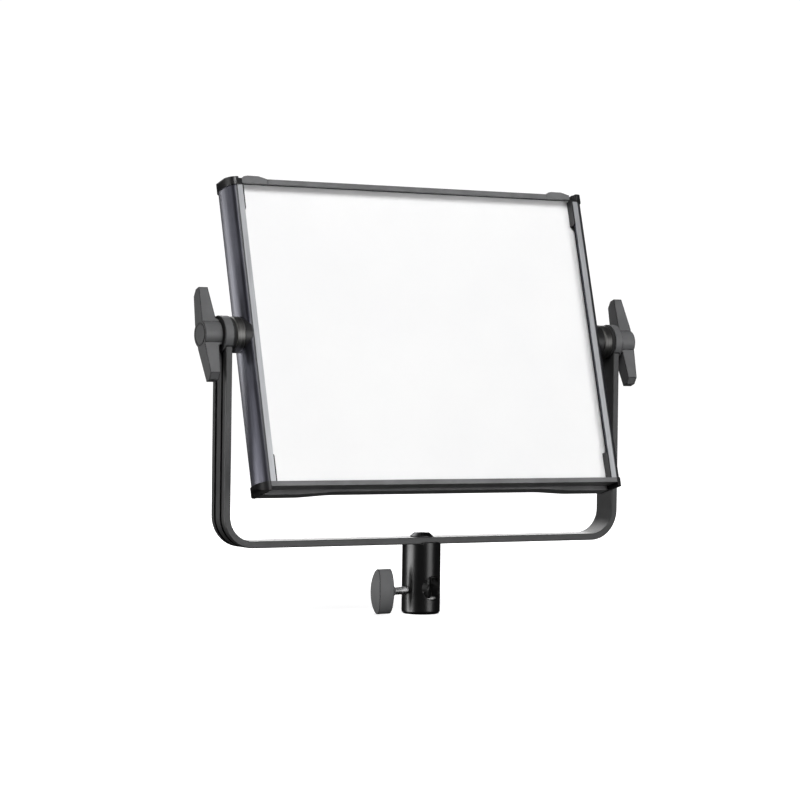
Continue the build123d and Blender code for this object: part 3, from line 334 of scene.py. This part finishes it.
def metal(name, colour, roughness, scale=(1.0, 1.0, 1.0)):
    """Bare or plated metal with streaks that run along the short axis of scale."""
    shader = Shader(name)
    point = shader.stretch(shader.place(), scale)
    streak = shader.noise(point, 900.0, 4.0)
    patches = shader.noise(point, 80.0)
    shader.put("Base Color", shader.mottle(patches, brighter(colour, 0.7), colour))
    shader.put("Metallic", 1.0)
    shader.put("Roughness", shader.spread(streak, roughness - 0.06, roughness + 0.1))
    shader.relief(streak, 0.2, 0.00006)
    return shader.material


def anodised_rail(name):
    """Extruded side rail: dark blue-black anodised, with a bare satin front lip."""
    shader = Shader(name)
    place = shader.head_place()
    x, y, _ = shader.split(place)
    lines = shader.noise(shader.stretch(place, (1.0, 1.0, 0.02)), 1400.0, 4.0)
    cloud = shader.noise(place, 30.0)
    lip = shader.under(y, FRONT_LIP_Y + 0.0002, 0.0003)
    dark = shader.mottle(cloud, (0.041, 0.041, 0.052), (0.053, 0.054, 0.067))
    bare = shader.mottle(lines, (0.42, 0.425, 0.44), (0.52, 0.53, 0.55))
    border = shader.over(shader.size(x), LIP_INNER_HALF_WIDTH, 0.0004)
    bare = shader.mix(border, bare, (0.06, 0.06, 0.065))
    shader.put("Base Color", shader.mix(lip, dark, bare))
    shader.put("Metallic", shader.shift(0.8, lip, -0.1))
    shader.put("Roughness", shader.shift(shader.spread(lines, 0.33, 0.43), lip, 0.08))
    shader.relief(lines, 0.12, 0.00008, 0.0002)
    return shader.material


def opal_sheet(name):
    """Opal diffusing sheet with a very fine frosted surface."""
    shader = Shader(name)
    place = shader.head_place()
    frost = shader.noise(place, 2500.0)
    cloud = shader.noise(place, 7.0)
    shader.put("Base Color", shader.mottle(cloud, (0.90, 0.90, 0.905), (0.93, 0.93, 0.93)))
    shader.put("Roughness", shader.spread(frost, 0.42, 0.55))
    shader.put("Specular IOR Level", 0.25)
    shader.put("Subsurface Weight", 0.25)
    shader.put("Subsurface Radius", (0.006, 0.006, 0.006))
    shader.relief(frost, 0.1, 0.00005, 0.0001)
    return shader.material


def bare_sockets(shader, place):
    """1 on the bare left part of the receiver's two socket walls, 0 elsewhere."""
    x, y, z = shader.split(place)
    from_cross = shader.length(x, shader.minus(z, SIDE_SOCKET_Z))
    from_upright = shader.length(x, y)
    bare = shader.under(shader.math("MINIMUM", from_upright, from_cross), SOCKET_WALL, 0.0004)
    bare = shader.times(bare, shader.under(from_upright, RECEIVER_SKIN, 0.0002))
    return shader.times(bare, shader.under(x, BARE_SIDE_X, 0.0030))


def receiver_coat(name):
    """Satin black turned receiver; the sockets show bare metal with dark speckles."""
    shader = Shader(name)
    place = shader.place((0, 0, 0), (0, 0, RECEIVER_TURN))
    turning = shader.noise(shader.stretch(place, (0.05, 0.05, 1.0)), 2200.0, 4.0)
    grain = shader.noise(place, 1600.0)
    bore = bare_sockets(shader, place)
    bare = shader.mottle(shader.noise(place, 900.0, 2.0), (0.30, 0.30, 0.30), (0.85, 0.85, 0.84), 0.46, 0.58)
    shader.put("Base Color", shader.mix(bore, (0.0025, 0.0025, 0.0027), bare))
    shader.put("Metallic", shader.times(bore, 0.1))
    shader.put("Roughness", shader.shift(shader.spread(turning, 0.28, 0.34), bore, 0.15))
    shader.relief(shader.plus(shader.times(turning, 0.6), shader.times(grain, 0.4)), 0.02, 0.00004, 0.0003)
    return shader.material


def turned_aluminium(name):
    """Turned pivot boss: fine rings round the tilt axis."""
    shader = Shader(name)
    rings = shader.noise(shader.stretch(shader.place(), (1.0, 0.02, 0.02)), 2400.0, 3.0)
    shader.put("Base Color", shader.mottle(rings, (0.09, 0.089, 0.087), (0.17, 0.168, 0.163)))
    shader.put("Metallic", 1.0)
    shader.put("Roughness", shader.spread(rings, 0.36, 0.50))
    shader.relief(rings, 0.25, 0.00006)
    return shader.material


def gloss_cap(name):
    """Glossy black moulded plastic with a faint flow pattern."""
    shader = Shader(name)
    point = shader.place()
    flow = shader.noise(point, 120.0, 4.0)
    grain = shader.noise(point, GRAIN)
    shader.put("Base Color", shader.mottle(flow, (0.008, 0.008, 0.0085), (0.014, 0.014, 0.015)))
    shader.put("Roughness", shader.spread(flow, 0.30, 0.40))
    shader.put("Specular IOR Level", 0.5)
    shader.relief(grain, 0.08, 0.00006, 0.0005)
    return shader.material


def display_glass(name):
    """Dark display with plain bars that stand for a menu."""
    shader = Shader(name)
    place = shader.head_place()
    x, _, z = shader.split(place)
    row = shader.math("FRACT", shader.times(z, MENU_ROWS))
    above = shader.over(row, MENU_BAR_LOW, MENU_BAR_BLEND)
    bar = shader.times(above, shader.under(row, MENU_BAR_HIGH, MENU_BAR_BLEND))
    lit = shader.times(bar, shader.under(shader.size(x), DISPLAY_HALF_WIDTH, 0.0002))
    glass = shader.mottle(shader.noise(place, 400.0), (0.010, 0.014, 0.020), (0.014, 0.019, 0.026))
    shader.put("Base Color", shader.mix(lit, glass, (0.30, 0.42, 0.50)))
    shader.put("Roughness", 0.12)
    return shader.material


def clear_window(name):
    """Thin clear window with a faint tint."""
    shader = Shader(name)
    haze = shader.noise(shader.place(), 300.0)
    shader.put("Base Color", shader.mottle(haze, (0.80, 0.82, 0.84), (0.86, 0.87, 0.88)))
    shader.put("Roughness", shader.spread(haze, 0.02, 0.06))
    shader.put("Transmission Weight", 1.0)
    shader.put("IOR", 1.2)
    return shader.material


def circuit_board(name):
    """Green solder mask over paler tracks."""
    shader = Shader(name)
    cells = shader.node("ShaderNodeTexVoronoi", feature="DISTANCE_TO_EDGE", distance="MANHATTAN")
    cells.inputs["Scale"].default_value = 220.0
    shader.feed(cells.inputs["Vector"], shader.head_place())
    track = shader.under(cells.outputs["Distance"], 0.03, 0.03)
    shader.put("Base Color", shader.mix(track, (0.012, 0.07, 0.03), (0.03, 0.16, 0.07)))
    shader.put("Roughness", shader.ramp(cells.outputs["Distance"], 0.0, 0.1, 0.5, 0.3))
    shader.relief(track, 0.3, 0.00005)
    return shader.material


def led_phosphor(name):
    """Yellow phosphor with a fine grain."""
    shader = Shader(name)
    grain = shader.noise(shader.place(), 1800.0)
    shader.put("Base Color", shader.mottle(grain, (0.75, 0.60, 0.15), (0.88, 0.76, 0.28)))
    shader.put("Roughness", 0.35)
    shader.relief(grain, 0.2, 0.00005)
    return shader.material


def build_materials():
    """One material per material slot of the record."""
    return {
        "yoke_coat": yoke_coat("yoke_coat"),
        "bar_coat": powder_coat("bar_coat", (0.128, 0.129, 0.132), 0.42),
        "cover_coat": powder_coat("cover_coat", (0.140, 0.141, 0.145), 0.5),
        "receiver_coat": receiver_coat("receiver_coat"),
        "anodised_rail": anodised_rail("anodised_rail"),
        "gloss_cap": gloss_cap("gloss_cap"),
        "moulded_black": moulded("moulded_black", (0.009, 0.009, 0.0095), 0.4),
        "knob_plastic": knob_plastic("knob_plastic"),
        "housing_plastic": moulded("housing_plastic", (0.030, 0.031, 0.033), 0.55, 1300.0, 0.45),
        "release_plastic": moulded("release_plastic", (0.30, 0.015, 0.012), 0.35),
        "rubber_black": moulded("rubber_black", (0.012, 0.012, 0.012), 0.75, 1100.0, 0.3, 0.3),
        "key_rubber": moulded("key_rubber", (0.07, 0.072, 0.076), 0.7, 1500.0, 0.3, 0.3),
        "blackened_steel": metal("blackened_steel", (0.045, 0.045, 0.047), 0.32),
        "zinc_steel": metal("zinc_steel", (0.85, 0.85, 0.86), 0.28, (1.0, 0.1, 0.1)),
        "brass": metal("brass", (0.62, 0.44, 0.18), 0.3, (0.1, 1.0, 1.0)),
        "turned_aluminium": turned_aluminium("turned_aluminium"),
        "bare_aluminium": metal("bare_aluminium", (0.70, 0.70, 0.71), 0.35, (1.0, 1.0, 0.03)),
        "white_reflector": moulded("white_reflector", (0.80, 0.80, 0.80), 0.6),
        "opal_sheet": opal_sheet("opal_sheet"),
        "led_phosphor": led_phosphor("led_phosphor"),
        "circuit_board": circuit_board("circuit_board"),
        "display": display_glass("display"),
        "clear_window": clear_window("clear_window"),
    }


def assign_materials(materials):
    """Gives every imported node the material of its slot."""
    for row in frame["record"]["subparts"]:
        piece = frame["nodes"][row["node"]]
        piece.data.materials.clear()
        piece.data.materials.append(materials[row["material_slot"]])


# ---------------------------------------------------------------- studio

def floor_material():
    """White that glows evenly to the camera and darkens only close under the object, as painted contact shade:
    its glow is weaker there.
    """
    shader = Shader("floor")
    grain = shader.noise(shader.place(), 40.0)
    shader.put("Base Color", shader.mix(grain, (0.86, 0.86, 0.86), (0.88, 0.88, 0.88)))
    shader.put("Roughness", 0.9)
    shader.put("Specular IOR Level", 0.0)
    camera_ray = shader.node("ShaderNodeLightPath").outputs["Is Camera Ray"]
    away = shader.node("ShaderNodeVectorMath", operation="LENGTH")
    shader.feed(away.inputs[0], shader.place())
    # Painted contact shade: the glow is weaker close under the object, on top of the real shadow.
    glow_with_painted_shade = shader.ramp(away.outputs["Value"], PAINTED_CONTACT_SHADE_START, PAINTED_CONTACT_SHADE_END, 0.55, 1.0)
    shader.put("Emission Color", (1.0, 1.0, 1.0, 1.0))
    shader.put("Emission Strength", shader.times(camera_ray, glow_with_painted_shade))
    return shader.material


def add_floor():
    """Pale floor that stays plain white, with a soft contact shadow that is partly real and partly painted
    shade in its material.
    """
    mesh = bmesh.new()
    bmesh.ops.create_grid(mesh, x_segments=8, y_segments=8, size=FLOOR_HALF_SIZE)
    data = bpy.data.meshes.new("floor")
    mesh.to_mesh(data)
    mesh.free()
    floor = bpy.data.objects.new("floor", data)
    scene.collection.objects.link(floor)
    data.materials.append(floor_material())
    floor.visible_glossy = False
    floor.visible_diffuse = False
    floor.visible_shadow = False


def room_light(nodes, links):
    """Dim room that gets brighter towards the ceiling."""
    room = nodes.new("ShaderNodeBackground")
    coordinates = nodes.new("ShaderNodeTexCoord")
    parts = nodes.new("ShaderNodeSeparateXYZ")
    height = nodes.new("ShaderNodeMapRange")
    height.inputs["From Min"].default_value = ROOM_LOW_HEIGHT
    height.inputs["From Max"].default_value = ROOM_HIGH_HEIGHT
    height.inputs["To Min"].default_value = ROOM_LOW
    height.inputs["To Max"].default_value = ROOM_HIGH
    links.new(coordinates.outputs["Generated"], parts.inputs[0])
    links.new(parts.outputs["Z"], height.inputs["Value"])
    links.new(height.outputs["Result"], room.inputs["Strength"])
    return room.outputs[0]


def add_world():
    """White to the camera; a dim room with a brighter ceiling to everything else."""
    world = bpy.data.worlds.new("studio")
    scene.world = world
    world.use_nodes = True
    nodes = world.node_tree.nodes
    links = world.node_tree.links
    nodes.clear()
    output = nodes.new("ShaderNodeOutputWorld")
    mix = nodes.new("ShaderNodeMixShader")
    seen = nodes.new("ShaderNodeBackground")
    seen.inputs["Color"].default_value = (1.0, 1.0, 1.0, 1.0)
    seen.inputs["Strength"].default_value = BACKGROUND_WHITE
    path = nodes.new("ShaderNodeLightPath")
    links.new(path.outputs["Is Camera Ray"], mix.inputs["Fac"])
    links.new(room_light(nodes, links), mix.inputs[1])
    links.new(seen.outputs[0], mix.inputs[2])
    links.new(mix.outputs[0], output.inputs["Surface"])


def softbox(name, place, aim, width, height, brightness, seen_by=None, blocked_by=None):
    """Soft light shining from place towards aim; with seen_by it only shows in reflections there."""
    light = bpy.data.lights.new(name, "AREA")
    light.shape = "RECTANGLE"
    light.size = width
    light.size_y = height
    light.energy = math.pi * width * height * brightness
    holder = bpy.data.objects.new(name, light)
    scene.collection.objects.link(holder)
    holder.location = place
    holder.rotation_euler = (Vector(aim) - Vector(place)).to_track_quat("-Z", "Y").to_euler()
    holder.visible_camera = False
    if seen_by:
        holder.visible_diffuse = False
        holder.light_linking.receiver_collection = seen_by
    if blocked_by:
        holder.light_linking.blocker_collection = blocked_by


def collect(name, wanted):
    """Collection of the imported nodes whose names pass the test."""
    group = bpy.data.collections.new(name)
    for node, piece in frame["nodes"].items():
        if wanted(node):
            group.objects.link(piece)
    return group


def add_lights():
    """Four lights for the whole scene, then cards that only show as reflections on some pieces."""
    middle = (0.0, 0.0, 0.2)
    low_end = (-0.15, 0.0, 0.09)
    rails = collect("rails", lambda node: node.startswith("side_rail"))
    others = collect("others", lambda node: not (node.startswith("side_rail") or node.endswith("end_caps")))
    blockers = collect("blockers", lambda node: node != "yoke")
    softbox("key", (-0.7, -1.7, 1.9), middle, 1.2, 1.0, 13.8)
    softbox("front_right", (0.72, -1.72, 0.25), middle, 0.95, 1.3, 3.8)
    softbox("left_fill", (-1.9, 0.5, 0.8), middle, 1.0, 1.0, 2.0)
    softbox("backdrop", (-0.1, 1.6, 1.7), middle, 1.8, 0.9, 5.0)
    softbox("rail_card", (-1.1, 1.35, -0.2), middle, 1.0, 1.4, 6.5, seen_by=rails, blocked_by=blockers)
    softbox("low_card", (-0.70, 0.12, -0.11), low_end, 0.06, 0.06, 1500.0, seen_by=rails, blocked_by=blockers)
    softbox("left_card", (-1.7, 0.3, 0.0), middle, 1.2, 1.4, 8.5, seen_by=others)
    softbox("back_card", (1.0, 1.75, 0.55), middle, 1.2, 0.8, 5.0, seen_by=others)


def camera_turn(ahead):
    """Rotation of a camera that looks ahead, rolled about its line of sight."""
    right = Vector((math.cos(CAMERA_YAW), -math.sin(CAMERA_YAW), 0.0))
    up = right.cross(ahead)
    rolled_right = right * math.cos(CAMERA_ROLL) + up * math.sin(CAMERA_ROLL)
    rolled_up = up * math.cos(CAMERA_ROLL) - right * math.sin(CAMERA_ROLL)
    return Matrix((rolled_right, rolled_up, -ahead)).transposed()


def add_camera():
    """Long lens from the front left, nearly level."""
    level = math.cos(CAMERA_PITCH)
    ahead = Vector((math.sin(CAMERA_YAW) * level, math.cos(CAMERA_YAW) * level, math.sin(CAMERA_PITCH)))
    data = bpy.data.cameras.new("camera")
    data.lens = CAMERA_LENS
    data.sensor_width = CAMERA_SENSOR
    data.shift_x = CAMERA_SHIFT_X
    camera = bpy.data.objects.new("camera", data)
    scene.collection.objects.link(camera)
    place = CAMERA_TARGET - ahead * CAMERA_DISTANCE
    camera.matrix_world = Matrix.Translation(place) @ camera_turn(ahead).to_4x4()
    scene.camera = camera


materials = build_materials()
assign_materials(materials)
add_floor()
add_world()
add_lights()
add_camera()
scene.view_settings.view_transform = "Standard"
